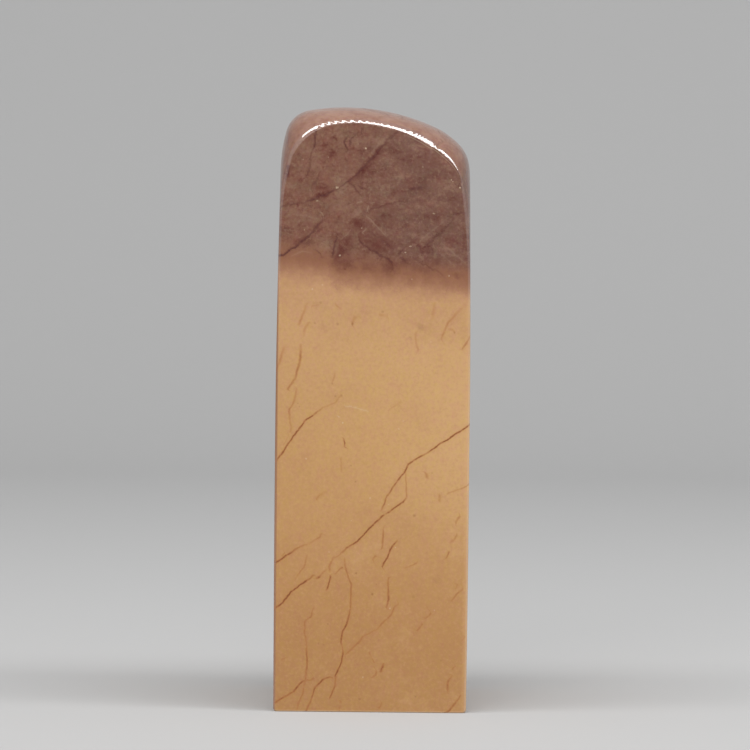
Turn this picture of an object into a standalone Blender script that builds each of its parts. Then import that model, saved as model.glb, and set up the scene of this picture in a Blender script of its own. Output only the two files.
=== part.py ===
"""Seal stone: a tall square stone blank for a carved name seal, resting on its flat seal face.

The whole object is one piece of stone. Its purple-brown head and its yellow body are one continuous
rock, so nothing is assembled and nothing moves. Metres, +Z up. The origin is the middle of the flat
seal face that the stone stands on, and the front looks towards -Y.

The body is a plain square prism up to about half its height. From there both sides draw in by a
quarter of a millimetre on a long slow curve, as hand polishing leaves them. The head is the skilled
part. Seen from the front it is a lopsided arch: a tight left shoulder, a long crown that peaks left
of centre, and a slower fall to a rounder right shoulder. Seen from the side it is a pillow: the arch
is full along the middle of the depth, and draws in to a lower, rounder arch on the front and back
faces, where it ends in a crease.

Both arches are chains of arcs that start upright at the left side and end upright at the right side,
turning through 180 degrees in all. Two points that face the same way on the two arches belong
together, so the loft between them stays smooth and curves outwards everywhere.
"""
import math

import bmesh
import bpy

# The block
WIDTH = 0.0250
DEPTH = 0.0250
HEIGHT = 0.0778

# The long slow curve of each side below the head: radii in metres, turns in degrees
LEFT_BELLY_RADIUS = 1.500
LEFT_BELLY_TURN = 1.2
RIGHT_BELLY_RADIUS = 0.900
RIGHT_BELLY_TURN = 1.2

# The full arch along the middle of the depth, from left to right. The long crown between the
# shoulders takes the radius and the turn that are left over.
RIDGE_LEFT_EASE_RADIUS = 0.0153
RIDGE_LEFT_EASE_TURN = 15.8
RIDGE_LEFT_SHOULDER_RADIUS = 0.0037
RIDGE_LEFT_SHOULDER_TURN = 63.0
RIDGE_RIGHT_FALL_RADIUS = 0.0106
RIDGE_RIGHT_FALL_TURN = 21.0
RIDGE_RIGHT_SHOULDER_RADIUS = 0.0048
RIDGE_RIGHT_SHOULDER_TURN = 35.0
RIDGE_RIGHT_EASE_RADIUS = 0.0060
RIDGE_RIGHT_EASE_TURN = 8.8

# The smaller arch where the head meets the front and back faces
FACE_LEFT_EASE_RADIUS = 0.0290
FACE_LEFT_EASE_TURN = 15.8
FACE_LEFT_SHOULDER_RADIUS = 0.0071
FACE_LEFT_SHOULDER_TURN = 63.0
FACE_RIGHT_SHOULDER_RADIUS = 0.0050
FACE_RIGHT_SHOULDER_TURN = 35.0
FACE_RIGHT_EASE_RADIUS = 0.0740
FACE_RIGHT_EASE_TURN = 8.8
FACE_DROP = 0.0019           # how much lower than the ridge the crease peaks

PILLOW_POWER = 4.0           # how late through the depth the head draws in: 2 is round, 8 is boxy
ARRIS_RADIUS = 0.0003        # every sharp edge of the stone is eased by hand to about this

# How finely the curved head is divided
HEADING_STEP = 3.0           # degrees of turn between two stations along an arch
FEWEST_STEPS = 4             # but never fewer stations than this along one arc
DEPTH_STEPS = 16             # strips from the middle of the depth to the front or the back face
ARRIS_SEGMENTS = 3
CREASE_ANGLE = 30.0          # an edge that turns more than this is an arris

BODY_YELLOW = (0.470, 0.270, 0.125, 1.0)
SEAM_BROWN = (0.270, 0.115, 0.075, 1.0)
HEAD_MAUVE = (0.215, 0.120, 0.098, 1.0)
POLISH_ROUGHNESS = 0.22

UPRIGHT = 90.0               # the heading of a line that runs straight up


class Arch:
    """A chain of tangent arcs over the block, from the top of the left side to that of the right side.

    A place on it is named by its heading, the direction of travel there in degrees: 90 at the left
    side, 0 at the peak, -90 at the right side. An arc of radius r that turns from heading a to
    heading b moves r * (sin a - sin b) to the right and r * (cos b - cos a) up.
    """

    def __init__(self, left_arcs, right_arcs, peak):
        spare_turn = 2 * UPRIGHT - sum(turn for _, turn in left_arcs + right_arcs)
        self.headings = [UPRIGHT]
        for turn in [turn for _, turn in left_arcs] + [spare_turn] + [turn for _, turn in right_arcs]:
            self.headings.append(self.headings[-1] - turn)
        self.radii = [radius for radius, _ in left_arcs] + [0.0] + [radius for radius, _ in right_arcs]
        crown = len(left_arcs)
        self.radii[crown] = (WIDTH - self.reach(-UPRIGHT)[0]) / self.run(crown, -UPRIGHT, 1.0)[0]
        self.rise = peak - self.reach(0.0)[1]

    def run(self, index, heading, radius):
        """How far right and up one arc has gone by the time the line has turned to this heading."""
        start = math.radians(self.headings[index])
        end = math.radians(min(self.headings[index], max(self.headings[index + 1], heading)))
        return radius * (math.sin(start) - math.sin(end)), radius * (math.cos(end) - math.cos(start))

    def reach(self, heading):
        """How far right and up the whole chain has gone from its left end."""
        runs = [self.run(index, heading, radius) for index, radius in enumerate(self.radii)]
        return sum(run[0] for run in runs), sum(run[1] for run in runs)

    def point(self, heading):
        """The place (x, z) on the arch that faces this way."""
        right, up = self.reach(heading)
        return right - WIDTH / 2, up + self.rise


def ridge_arch():
    left = [(LEFT_BELLY_RADIUS, LEFT_BELLY_TURN),
            (RIDGE_LEFT_EASE_RADIUS, RIDGE_LEFT_EASE_TURN),
            (RIDGE_LEFT_SHOULDER_RADIUS, RIDGE_LEFT_SHOULDER_TURN)]
    right = [(RIDGE_RIGHT_FALL_RADIUS, RIDGE_RIGHT_FALL_TURN),
             (RIDGE_RIGHT_SHOULDER_RADIUS, RIDGE_RIGHT_SHOULDER_TURN),
             (RIDGE_RIGHT_EASE_RADIUS, RIDGE_RIGHT_EASE_TURN),
             (RIGHT_BELLY_RADIUS, RIGHT_BELLY_TURN)]
    return Arch(left, right, HEIGHT)


def face_arch():
    left = [(LEFT_BELLY_RADIUS, LEFT_BELLY_TURN),
            (FACE_LEFT_EASE_RADIUS, FACE_LEFT_EASE_TURN),
            (FACE_LEFT_SHOULDER_RADIUS, FACE_LEFT_SHOULDER_TURN)]
    right = [(FACE_RIGHT_SHOULDER_RADIUS, FACE_RIGHT_SHOULDER_TURN),
             (FACE_RIGHT_EASE_RADIUS, FACE_RIGHT_EASE_TURN),
             (RIGHT_BELLY_RADIUS, RIGHT_BELLY_TURN)]
    return Arch(left, right, HEIGHT - FACE_DROP)


def arch_headings(arches):
    """Evenly stepped headings from left to right, with the peak and every joint of two arcs kept."""
    joints = {round(heading, 6) for arch in arches for heading in arch.headings}
    kept = sorted(joints | {0.0}, reverse=True)
    headings = [kept[0]]
    for start, end in zip(kept, kept[1:]):
        steps = max(FEWEST_STEPS, math.ceil((start - end) / HEADING_STEP))
        headings += [start + (end - start) * step / steps for step in range(1, steps + 1)]
    return headings


def section(ridge, face, headings, across):
    """The stone's outline at one place through the depth: across is -1 at the front, 1 at the back.

    It is the ridge arch in the middle and the face arch at both faces, and between them it moves
    over by the distance from the middle raised to the pillow power.
    """
    drawn_in = abs(across) ** PILLOW_POWER
    outline = [(-WIDTH / 2, 0.0)]
    for heading in headings:
        full, small = ridge.point(heading), face.point(heading)
        outline.append(tuple(a + (b - a) * drawn_in for a, b in zip(full, small)))
    outline.append((WIDTH / 2, 0.0))
    return [(x, across * DEPTH / 2, z) for x, z in outline]


def loft_stone(mesh):
    """Skins the sections from front to back, caps both ends, and makes each flat area one face."""
    ridge, face = ridge_arch(), face_arch()
    headings = arch_headings([ridge, face])
    shape = bmesh.new()
    rings = []
    for step in range(-DEPTH_STEPS, DEPTH_STEPS + 1):
        outline = section(ridge, face, headings, step / DEPTH_STEPS)
        rings.append([shape.verts.new(place) for place in outline])
    for front, back in zip(rings, rings[1:]):
        for here in range(len(front)):
            ahead = (here + 1) % len(front)
            shape.faces.new((front[here], back[here], back[ahead], front[ahead]))
    shape.faces.new(rings[0])
    shape.faces.new(reversed(rings[-1]))
    bmesh.ops.recalc_face_normals(shape, faces=shape.faces)
    bmesh.ops.dissolve_limit(shape, angle_limit=math.radians(0.01), verts=shape.verts, edges=shape.edges)
    shape.to_mesh(mesh)
    shape.free()


def stone_material():
    """Polished stone: yellow below, mauve above, over a rust-brown seam that dips to the right."""
    head_length = 0.0215
    seam_half_height = 0.0012
    seam_dip = math.radians(7.0)
    material = bpy.data.materials.new("seal_stone")
    material.use_nodes = True
    nodes, links = material.node_tree.nodes, material.node_tree.links
    shader = nodes["Principled BSDF"]
    shader.inputs["Roughness"].default_value = POLISH_ROUGHNESS
    shader.inputs["Metallic"].default_value = 0.0
    place = nodes.new("ShaderNodeTexCoord")
    tilt = nodes.new("ShaderNodeMapping")
    tilt.inputs["Rotation"].default_value = (0.0, -seam_dip, 0.0)
    axes = nodes.new("ShaderNodeSeparateXYZ")
    height = nodes.new("ShaderNodeMapRange")
    height.inputs["From Min"].default_value = HEIGHT - head_length - seam_half_height
    height.inputs["From Max"].default_value = HEIGHT - head_length + seam_half_height
    ramp = nodes.new("ShaderNodeValToRGB")
    ramp.color_ramp.elements[0].color = BODY_YELLOW
    ramp.color_ramp.elements[1].color = HEAD_MAUVE
    ramp.color_ramp.elements.new(0.5).color = SEAM_BROWN
    links.new(place.outputs["Object"], tilt.inputs["Vector"])
    links.new(tilt.outputs["Vector"], axes.inputs["Vector"])
    links.new(axes.outputs["Z"], height.inputs["Value"])
    links.new(height.outputs["Result"], ramp.inputs["Fac"])
    links.new(ramp.outputs["Color"], shader.inputs["Base Color"])
    return material


def make_seal_stone(collection):
    mesh = bpy.data.meshes.new("seal_stone")
    loft_stone(mesh)
    mesh.shade_smooth()
    mesh.set_sharp_from_angle(angle=math.radians(CREASE_ANGLE))
    mesh.materials.append(stone_material())
    stone = bpy.data.objects.new("seal_stone", mesh)
    collection.objects.link(stone)
    arris = stone.modifiers.new("eased arrises", "BEVEL")
    arris.width = ARRIS_RADIUS
    arris.segments = ARRIS_SEGMENTS
    arris.limit_method = "ANGLE"
    arris.angle_limit = math.radians(CREASE_ANGLE)
    return stone


def main():
    for old in list(bpy.data.objects):
        bpy.data.objects.remove(old, do_unlink=True)
    parts = bpy.data.collections.new("seal_stone")
    bpy.context.scene.collection.children.link(parts)
    make_seal_stone(parts)


main()
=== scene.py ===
"""Looks of the seal stone: the polished stone itself, with its hand-eased edges, two colours and veins.

The stone is one closed surface worked out on a grid, in metres, +Z up, front towards -Y. Its colours
are a solid pattern in three dimensions, so the veins seen on the front run on round the sides.
"""
import math

import bpy
import numpy as np
from mathutils import Matrix, Vector


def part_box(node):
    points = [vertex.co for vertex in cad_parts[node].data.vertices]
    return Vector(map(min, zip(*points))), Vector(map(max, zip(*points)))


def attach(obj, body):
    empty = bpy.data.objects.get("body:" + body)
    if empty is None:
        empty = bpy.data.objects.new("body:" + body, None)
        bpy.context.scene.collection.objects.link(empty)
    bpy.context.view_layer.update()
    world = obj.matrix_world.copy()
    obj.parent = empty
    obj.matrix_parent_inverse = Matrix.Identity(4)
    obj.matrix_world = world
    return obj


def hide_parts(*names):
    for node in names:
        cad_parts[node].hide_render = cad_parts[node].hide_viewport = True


MM = 0.001

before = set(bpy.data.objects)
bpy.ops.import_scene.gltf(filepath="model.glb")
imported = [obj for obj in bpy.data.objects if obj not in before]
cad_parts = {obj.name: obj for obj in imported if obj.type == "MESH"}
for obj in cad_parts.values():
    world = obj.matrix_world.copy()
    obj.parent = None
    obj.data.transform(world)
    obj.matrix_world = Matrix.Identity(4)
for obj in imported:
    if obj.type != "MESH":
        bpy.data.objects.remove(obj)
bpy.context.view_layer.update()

STONE = "seal_stone"
low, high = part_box(STONE)
WIDTH = high.x - low.x
DEPTH = high.y - low.y
HEIGHT = high.z - low.z

# The head's arches, from left to right: radius of each arc in metres, and its turn in degrees. The
# crown of each arch takes the radius and the turn that are left over.
RIDGE_LEFT = ((1.500, 1.2), (0.0153, 15.8), (0.0037, 63.0))
RIDGE_RIGHT = ((0.0106, 21.0), (0.0048, 35.0), (0.0060, 8.8), (0.900, 1.2))
FACE_LEFT = ((1.500, 1.2), (0.0290, 15.8), (0.0071, 63.0))
FACE_RIGHT = ((0.0050, 35.0), (0.0740, 8.8), (0.900, 1.2))
FACE_DROP = 1.9 * MM
PILLOW_POWER = 4.0

# The eased edges: how much each takes off the front face and off the side
UPRIGHT_ARRIS = (0.26 * MM, 0.26 * MM)
CREASE_ARRIS = (0.21 * MM, 0.40 * MM)
BASE_ARRIS = (0.16 * MM, 0.16 * MM)
BASE_CORNER_RADIUS = 0.45 * MM
CREASE_TURN = 88.0           # the upright edges end where the outline has this far to turn to the peak
CREASE_BLEND = 25.0          # and within this many degrees they have become the crease

# The crease's cut, from left to right: even, then in broad lumps, then wider and in fine lumps, then
# after a narrow gap its first width again, and a thin tail. A lump has a length and a share of the cut,
# and the gap and the tail take a share of it away.
LUMPS_START = -7.3 * MM
BROAD_LUMP, BROAD_LUMP_SHARE = 0.86 * MM, 0.42
FINE_START = -1.5 * MM
FINE_LUMP, FINE_LUMP_SHARE = 0.53 * MM, 0.12
FILED_WIDER = 0.75
WIDE_END = 7.7 * MM
GAP_HALF_WIDTH, GAP_SHARE = 0.36 * MM, 0.95
TAIL_START, TAIL_SHARE = 9.9 * MM, 0.75
NARROWEST = 0.2              # no place is cut to less than this share

SCRATCH_INSET = 0.17 * MM    # a hairline scratch runs this far inside the crease's edge
SCRATCH_SPAN = (2.5 * MM, 11.5 * MM)
SCRATCH_FADES = (2.5 * MM, 1.5 * MM)
SCRATCH_HALF_WIDTH = 0.06 * MM
SCRATCH_DEPTH = 0.02 * MM
CREASE_STANDS_OUT = 0.20 * MM    # the filed facet over the head leaves the crease this much proud
HEAD_SHARE = 0.8             # the crease lies above this share of the height
FACE_FULLNESS = 0.14         # how round the eased edge is at the face, and at the side:
SIDE_FULLNESS = 0.34         # 0 is a flat facet, 0.67 a full round
FOOT_HEIGHT = 25.0 * MM      # below this the stone draws in again by a hair
FOOT_DRAW = 0.006

# How strongly a place counts as eased edge beside the edge itself, and how far up the head's outline
# the painted lighter rim of top light and sheen has grown to its full strength: where it starts, and over how
# many degrees of turn
BESIDE_EDGE = 0.35
RIM_TURN = 92.0
RIM_BLEND = 65.0

# The camera
CAMERA_DISTANCE = 0.560      # from the front face
CAMERA_AIM_HEIGHT = 0.04357
CAMERA_PITCH = math.radians(3.5)
CAMERA_ROLL = math.radians(0.568)
FRAME_WIDTH = 0.09623        # what the frame takes in at the front face
FRAME_SHIFT = 0.00277

# The studio
STRIP_LEVEL = 8.0
KEY_LEVEL = 2.0
WORLD_LEVEL = 0.55
FLOOR_TONE = (0.42, 0.42, 0.42, 1.0)
FLOOR_REACH = 1.6            # to the front and to each side
BACKDROP_HEIGHT = 1.4
FLOOR_BEND_START = 0.35
FLOOR_BEND_RADIUS = 0.25

# How finely the surface is divided
CREASE_SPACING = 0.09 * MM
SIDE_SPACING = 0.6 * MM
FACE_RINGS = (0.35, 0.7, 0.93)
ARRIS_RINGS = 8
DEPTH_RINGS = 30


def arc_chain(left, right, peak, heading):
    """Where a chain of tangent arcs has got to, as x and z, when it has turned to each heading.

    An arc of radius r that turns from heading a to heading b moves r (sin a - sin b) to the right
    and r (cos b - cos a) up. The crown between the left and the right arcs takes the spare turn,
    and the radius that makes the chain as wide as the stone. Its highest point is put at peak.
    """
    spare = 180.0 - sum(turn for _, turn in left + right)
    turns = [turn for _, turn in left] + [spare] + [turn for _, turn in right]
    joints = np.radians(90.0 - np.concatenate([[0.0], np.cumsum(turns)]))
    radii = np.array([radius for radius, _ in left] + [0.0] + [radius for radius, _ in right])
    crown = len(left)
    run = np.sin(joints[:-1]) - np.sin(joints[1:])
    radii[crown] = (WIDTH - (radii * run).sum()) / run[crown]
    here = np.clip(heading[None, :], joints[1:, None], joints[:-1, None])
    right_way = (radii[:, None] * (np.sin(joints[:-1, None]) - np.sin(here))).sum(0)
    up_way = (radii[:, None] * (np.cos(here) - np.cos(joints[:-1, None]))).sum(0)
    top = (radii * (np.cos(np.clip(0.0, joints[1:], joints[:-1])) - np.cos(joints[:-1]))).sum()
    return right_way - WIDTH / 2, up_way - top + peak, radii, joints


def arch_headings():
    """Headings along the face arch, from 90 degrees at the left side to -90 at the right side.

    Within each arc they are evenly spaced, so that neighbours lie about one spacing apart.
    """
    _, _, radii, joints = arc_chain(FACE_LEFT, FACE_RIGHT, HEIGHT - FACE_DROP, np.zeros(1))
    headings = [joints[:1]]
    for radius, start, end in zip(radii, joints[:-1], joints[1:]):
        spacing = SIDE_SPACING if radius > 0.5 else CREASE_SPACING
        steps = max(4, math.ceil(radius * (start - end) / spacing))
        headings.append(np.linspace(start, end, steps + 1)[1:])
    return np.concatenate(headings)


def section_loop():
    """The stone's outline as a closed loop, clockwise from the front: up the left side, over the
    head, down the right side and back along the base. Gives the full outline along the ridge, the
    smaller one at the faces, the direction that each place faces, and its heading.
    """
    heading = arch_headings()
    ridge = np.column_stack(arc_chain(RIDGE_LEFT, RIDGE_RIGHT, HEIGHT, heading)[:2])
    face = np.column_stack(arc_chain(FACE_LEFT, FACE_RIGHT, HEIGHT - FACE_DROP, heading)[:2])

    corner = np.radians(np.linspace(180.0, 90.0, 9))
    corner_x = BASE_CORNER_RADIUS * (1 - np.sin(corner)) - WIDTH / 2
    corner_z = BASE_CORNER_RADIUS * (1 + np.cos(corner))
    left_corner = np.column_stack([corner_x, corner_z])
    right_corner = np.column_stack([-corner_x, corner_z])[::-1]

    def stretch(ends, small_ends):
        """Evenly spaced places between two points of the full outline and of the smaller one."""
        steps = max(2, math.ceil(np.linalg.norm(small_ends[1] - small_ends[0]) / SIDE_SPACING))
        share = np.linspace(0.0, 1.0, steps + 1)[1:-1, None]
        return [start + (end - start) * share for start, end in (ends, small_ends)]

    up_ridge, up_face = stretch((left_corner[-1], ridge[0]), (left_corner[-1], face[0]))
    down_ridge, down_face = stretch((ridge[-1], right_corner[0]), (face[-1], right_corner[0]))
    base_ridge, base_face = stretch(*[(right_corner[-1], left_corner[0])] * 2)
    full = np.concatenate([left_corner, up_ridge, ridge, down_ridge, right_corner, base_ridge])
    small = np.concatenate([left_corner, up_face, face, down_face, right_corner, base_face])
    headings = np.concatenate([
        corner, np.full(len(up_face), math.pi / 2), heading, np.full(len(down_face), -math.pi / 2),
        -corner[::-1], np.full(len(base_face), -math.pi)])
    outward = np.column_stack([-np.sin(headings), np.cos(headings)])
    return full, small, outward, headings


def step_up(along, place, softness):
    """Rises from 0 to 1 around a place along the crease."""
    return 1 / (1 + np.exp((place - along) / softness))


def arris_sizes(small, headings):
    """How far the crease stands out, and how much the eased edge takes off the front face and off the
    side, at each place of the loop.

    They blend from the base's edge to the upright edges to the crease by how far the outline has
    turned. Along the crease the cut on the side also swells and shrinks by hand-filed lumps.
    """
    turn = np.abs(np.degrees(headings))
    on_head = np.clip((CREASE_TURN - turn) / CREASE_BLEND, 0.0, 1.0)
    on_head = on_head * on_head * (3 - 2 * on_head)
    on_base = np.clip((turn - 90.0) / 90.0, 0.0, 1.0)
    off_face, off_side = [
        upright + (crease - upright) * on_head + (base - upright) * on_base
        for upright, crease, base in zip(UPRIGHT_ARRIS, CREASE_ARRIS, BASE_ARRIS)]
    along = small[:, 0]
    broad = np.sin(2 * math.pi * along / BROAD_LUMP + 0.9 * np.sin(1.1 * along / MM))
    fine = np.sin(2 * math.pi * along / FINE_LUMP + 2.1 * np.sin(2.3 * along / MM))
    fine = fine * (0.6 + 0.4 * np.sin(1.7 * along / MM))
    to_right = step_up(along, FINE_START, 0.8 * MM)
    lumps = BROAD_LUMP_SHARE * broad * (1 - to_right) + FINE_LUMP_SHARE * fine * to_right
    lumps = lumps * step_up(along, LUMPS_START, 0.15 * MM)
    wide = to_right * (1 - step_up(along, WIDE_END, 0.1 * MM))
    gap = np.exp(-((along - WIDE_END) / GAP_HALF_WIDTH) ** 2)
    tail = step_up(along, TAIL_START, 0.2 * MM)
    change = FILED_WIDER * wide - GAP_SHARE * gap - TAIL_SHARE * tail
    wider = np.maximum(1 + on_head * change, NARROWEST)
    off_side = off_side * wider * (1 + on_head * lumps)
    off_face = off_face * wider
    stands_out = CREASE_STANDS_OUT * on_head * np.minimum(wider, 1.0)
    return stands_out[:, None], off_face[:, None], off_side[:, None]


def scratch_strength(small):
    """How strong the hairline scratch is that runs beside the crease, over the right half of the head, and
    how strongly a highlight is painted along it.
    """
    along = small[:, 0]
    start, end = SCRATCH_SPAN
    shown = np.clip((along - start) / SCRATCH_FADES[0], 0.0, 1.0)
    shown = shown * np.clip((end - along) / SCRATCH_FADES[1], 0.0, 1.0)
    return shown * (small[:, 1] > HEAD_SHARE * HEIGHT)


def stone_rings():
    """Rings of places from the middle of the front face, out to its eased edge, back along the
    sides and head, and in to the middle of the back face. Also says how much of an edge each ring is,
    and how much of a rim and of a scratch each place is.

    At a share t of the way from the middle of the depth to a face, the outline is the full one
    drawn towards the smaller one by t to the pillow power. The eased edge is a cubic curve from the
    face to the side, which bends only near its two ends.
    """
    full, small, outward, headings = section_loop()
    stands_out, off_face, off_side = arris_sizes(small, headings)
    small = small + outward * stands_out
    half = DEPTH / 2

    def on_side(depth_share):
        drawn_in = np.abs(depth_share) ** PILLOW_POWER
        flat = full + (small - full) * drawn_in
        return np.column_stack([flat[:, 0], depth_share[:, 0] * half, flat[:, 1]])

    side_share = 1 - off_side / half
    crease = np.column_stack([small[:, 0], np.full(len(small), -half), small[:, 1]])
    inward = -np.column_stack([outward[:, 0], np.zeros(len(small)), outward[:, 1]])
    face_edge = crease + inward * off_face
    side_edge = on_side(-side_share)
    room = np.clip(small[:, 1:] / (HEAD_SHARE * HEIGHT), 0.15, 1.0)
    scratch = face_edge + inward * SCRATCH_INSET * room
    scratch_wall = inward * SCRATCH_HALF_WIDTH * room
    sunk = np.array([0.0, SCRATCH_DEPTH, 0.0]) * scratch_strength(small)[:, None]

    middle = np.array([0.0, -half, HEIGHT / 2])
    front = [middle + (face_edge - middle) * share for share in FACE_RINGS]
    front += [scratch + scratch_wall, scratch + sunk, scratch - scratch_wall]
    rings = front + [face_edge]
    edges = [0.0] * len(front) + [BESIDE_EDGE]
    near_face = face_edge + (crease - face_edge) * FACE_FULLNESS
    near_side = side_edge + (crease - side_edge) * SIDE_FULLNESS
    for u in np.linspace(0.0, 1.0, ARRIS_RINGS + 1)[1:-1]:
        weights = (1 - u) ** 3, 3 * (1 - u) ** 2 * u, 3 * (1 - u) * u ** 2, u ** 3
        corners = face_edge, near_face, near_side, side_edge
        rings.append(sum(weight * place for weight, place in zip(weights, corners)))
        edges.append(1.0)
    front_half = list(rings)
    for q in np.sin(np.linspace(-math.pi / 2, math.pi / 2, DEPTH_RINGS + 1)):
        rings.append(on_side(side_share * q))
        edges.append(BESIDE_EDGE if abs(q) == 1.0 else 0.0)
    turned_back = np.array([1.0, -1.0, 1.0])
    rings += [ring * turned_back for ring in reversed(front_half)]
    edges += list(reversed(edges[:len(front_half)]))
    up_head = np.clip((RIM_TURN - np.abs(np.degrees(headings))) / RIM_BLEND, 0.0, 1.0)
    past_edge = np.zeros(len(rings))
    past_edge[len(front_half):len(rings) - len(front_half)] = 1.0
    past_edge[len(front) + 1:len(front_half)] = 0.5
    # where the lighter rim tone, painted top light and sheen, is laid
    rim_light_shares = np.maximum(past_edge, past_edge[::-1])[:, None] * up_head
    # how strongly a highlight is painted along the scratch
    scratch_highlight_shares = np.zeros((len(rings), len(small)))
    scratch_highlight_shares[[len(front) - 2, 1 - len(front)]] = scratch_strength(small)
    return np.array(rings), np.array(edges), rim_light_shares, scratch_highlight_shares, middle


def make_stone():
    """Skins the rings with four-sided faces, closes both ends with a fan, and draws in the foot."""
    rings, edges, rim_light_shares, scratch_highlight_shares, middle = stone_rings()
    count, length, _ = rings.shape
    places = np.concatenate([rings.reshape(-1, 3), [middle, middle * (1, -1, 1)]])
    foot = np.clip((FOOT_HEIGHT - places[:, 2]) / FOOT_HEIGHT, 0.0, 1.0)
    places[:, 0] *= 1 - FOOT_DRAW * foot ** 2

    here = np.arange(length)
    ahead = (here + 1) % length
    first = np.arange(count - 1)[:, None] * length
    quads = np.stack([first + here, first + ahead, first + length + ahead, first + length + here], axis=-1)
    last = (count - 1) * length
    front_fan = np.column_stack([np.full(length, count * length), ahead, here])
    back_fan = np.column_stack([np.full(length, count * length + 1), last + here, last + ahead])

    faces = quads.reshape(-1, 4).tolist() + front_fan.tolist() + back_fan.tolist()
    mesh = bpy.data.meshes.new("polished_seal_stone")
    mesh.from_pydata(places.tolist(), [], faces)
    mesh.shade_smooth()
    for name, values in (("eased_edge", np.repeat(edges, length)), ("painted_rim_light", rim_light_shares.ravel()),
                         ("scratch", scratch_highlight_shares.ravel())):
        attribute = mesh.attributes.new(name, "FLOAT", "POINT")
        attribute.data.foreach_set("value", np.concatenate([values, [0.0, 0.0]]))
    mesh.validate()
    stone = bpy.data.objects.new("polished_seal_stone", mesh)
    bpy.context.scene.collection.objects.link(stone)
    return stone


class Nodes:
    """Short ways to add nodes to one node tree. A value or a socket can be given for any input."""

    def __init__(self, tree):
        self.tree = tree

    def add(self, kind, settings=None, **inputs):
        node = self.tree.nodes.new("ShaderNode" + kind)
        for name, value in (settings or {}).items():
            setattr(node, name, value)
        for name, value in inputs.items():
            self.feed(node.inputs[name.replace("_", " ")], value)
        return node

    def feed(self, socket, value):
        if isinstance(value, bpy.types.NodeSocket):
            self.tree.links.new(value, socket)
        elif value is not None:
            socket.default_value = value

    def math(self, operation, first, second=None, third=None, clamp=False):
        node = self.tree.nodes.new("ShaderNodeMath")
        node.operation = operation
        node.use_clamp = clamp
        for socket, value in zip(node.inputs, (first, second, third)):
            self.feed(socket, value)
        return node.outputs[0]

    def times(self, *values):
        """The product of two or more values."""
        product = values[0]
        for value in values[1:]:
            product = self.math("MULTIPLY", product, value)
        return product

    def most(self, first, second):
        return self.math("MAXIMUM", first, second)

    def rise(self, value, start, end):
        """Rises evenly from 0 to 1 as the value goes from start to end."""
        return self.math("MULTIPLY_ADD", value, 1 / (end - start), start / (start - end), clamp=True)

    def attribute(self, name):
        return self.add("Attribute", {"attribute_name": name}).outputs["Fac"]

    def vector(self, operation, first, second=None, scale=None):
        node = self.tree.nodes.new("ShaderNodeVectorMath")
        node.operation = operation
        self.feed(node.inputs[0], first)
        self.feed(node.inputs[1], second)
        if scale is not None:
            self.feed(node.inputs["Scale"], scale)
        return node.outputs["Value" if operation in ("DOT_PRODUCT", "LENGTH", "DISTANCE") else "Vector"]

    def ramp(self, value, start, end, low=0.0, high=1.0):
        """Eases from low to high as the value goes from start to end."""
        node = self.add("MapRange", {"interpolation_type": "SMOOTHSTEP"})
        for name, number in (("From Min", start), ("From Max", end), ("To Min", low), ("To Max", high)):
            self.feed(node.inputs[name], number)
        self.feed(node.inputs["Value"], value)
        return node.outputs["Result"]

    def lay(self, ground, tone, share, factor=None, blend="MIX"):
        """Lays a tone over a ground by a share, times a factor where one is given, kept from 0 to 1."""
        node = self.tree.nodes.new("ShaderNodeMix")
        node.data_type = "RGBA"
        node.blend_type = blend
        node.clamp_factor = True
        self.feed(node.inputs[0], share if factor is None else self.times(share, factor))
        self.feed(node.inputs[6], ground)
        self.feed(node.inputs[7], tone)
        return node.outputs[2]

    def either(self, ground, noise, start, end, over, under, at_most=(1.0, 1.0), blend="MIX", even=False):
        """Lays one tone where a noise is above its middle value, and another where it is below. The
        first is strongest at end, and the other as far below the middle. Their shares ease in, each
        to its own at_most, or rise evenly to all of it."""
        sides = (over, at_most[0], start, end), (under, at_most[1], 1 - start, 1 - end)
        for tone, high, first, last in sides:
            share = self.rise(noise, first, last) if even else self.ramp(noise, first, last, 0.0, high)
            ground = self.lay(ground, tone, share, blend=blend)
        return ground

    def tones(self, value, stops):
        """Colours at positions from 0 to 1, with even blends between them."""
        node = self.tree.nodes.new("ShaderNodeValToRGB")
        elements = node.color_ramp.elements
        while len(elements) < len(stops):
            elements.new(0.5)
        for element, (position, tone) in zip(elements, stops):
            element.position = position
            element.color = tone
        self.feed(node.inputs["Fac"], value)
        return node.outputs["Color"]

    def group(self, tree, **inputs):
        """Places a node group and gives its outputs."""
        node = self.add("Group", {"node_tree": tree})
        for name, value in inputs.items():
            self.feed(node.inputs[name.replace("_", " ")], value)
        return node.outputs

    def noise(self, place, size, detail=2.0, roughness=0.5, output="Fac"):
        """Soft noise whose lumps are about size millimetres across."""
        node = self.add("TexNoise", Vector=place, Scale=1.0 / size, Detail=detail, Roughness=roughness)
        return node.outputs[output]

    def grains(self, place, spacing, radius, share):
        """Small round grains about one spacing apart, of which only a share is there."""
        cell = self.add("TexVoronoi", Vector=place, Scale=1.0 / spacing).outputs
        lot = self.add("SeparateColor", Color=cell["Color"]).outputs["Red"]
        size = self.times(self.ramp(lot, share, 0.0, 0.3, 1.0), radius / spacing)
        away = self.math("DIVIDE", cell["Distance"], size)
        return self.ramp(away, 1.3, 0.5, 0.0, self.math("LESS_THAN", lot, share))

    def curve(self, value, points, smooth=False):
        """A drawn curve through (position, height) points, both from 0 to 1."""
        node = self.tree.nodes.new("ShaderNodeFloatCurve")
        line = node.mapping.curves[0]
        while len(line.points) < len(points):
            line.points.new(0.5, 0.5)
        for point, (position, height) in zip(line.points, points):
            point.location = position, height
            point.handle_type = "AUTO_CLAMPED" if smooth else "VECTOR"
        node.mapping.update()
        self.feed(node.inputs["Value"], value)
        return node.outputs["Value"]


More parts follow.
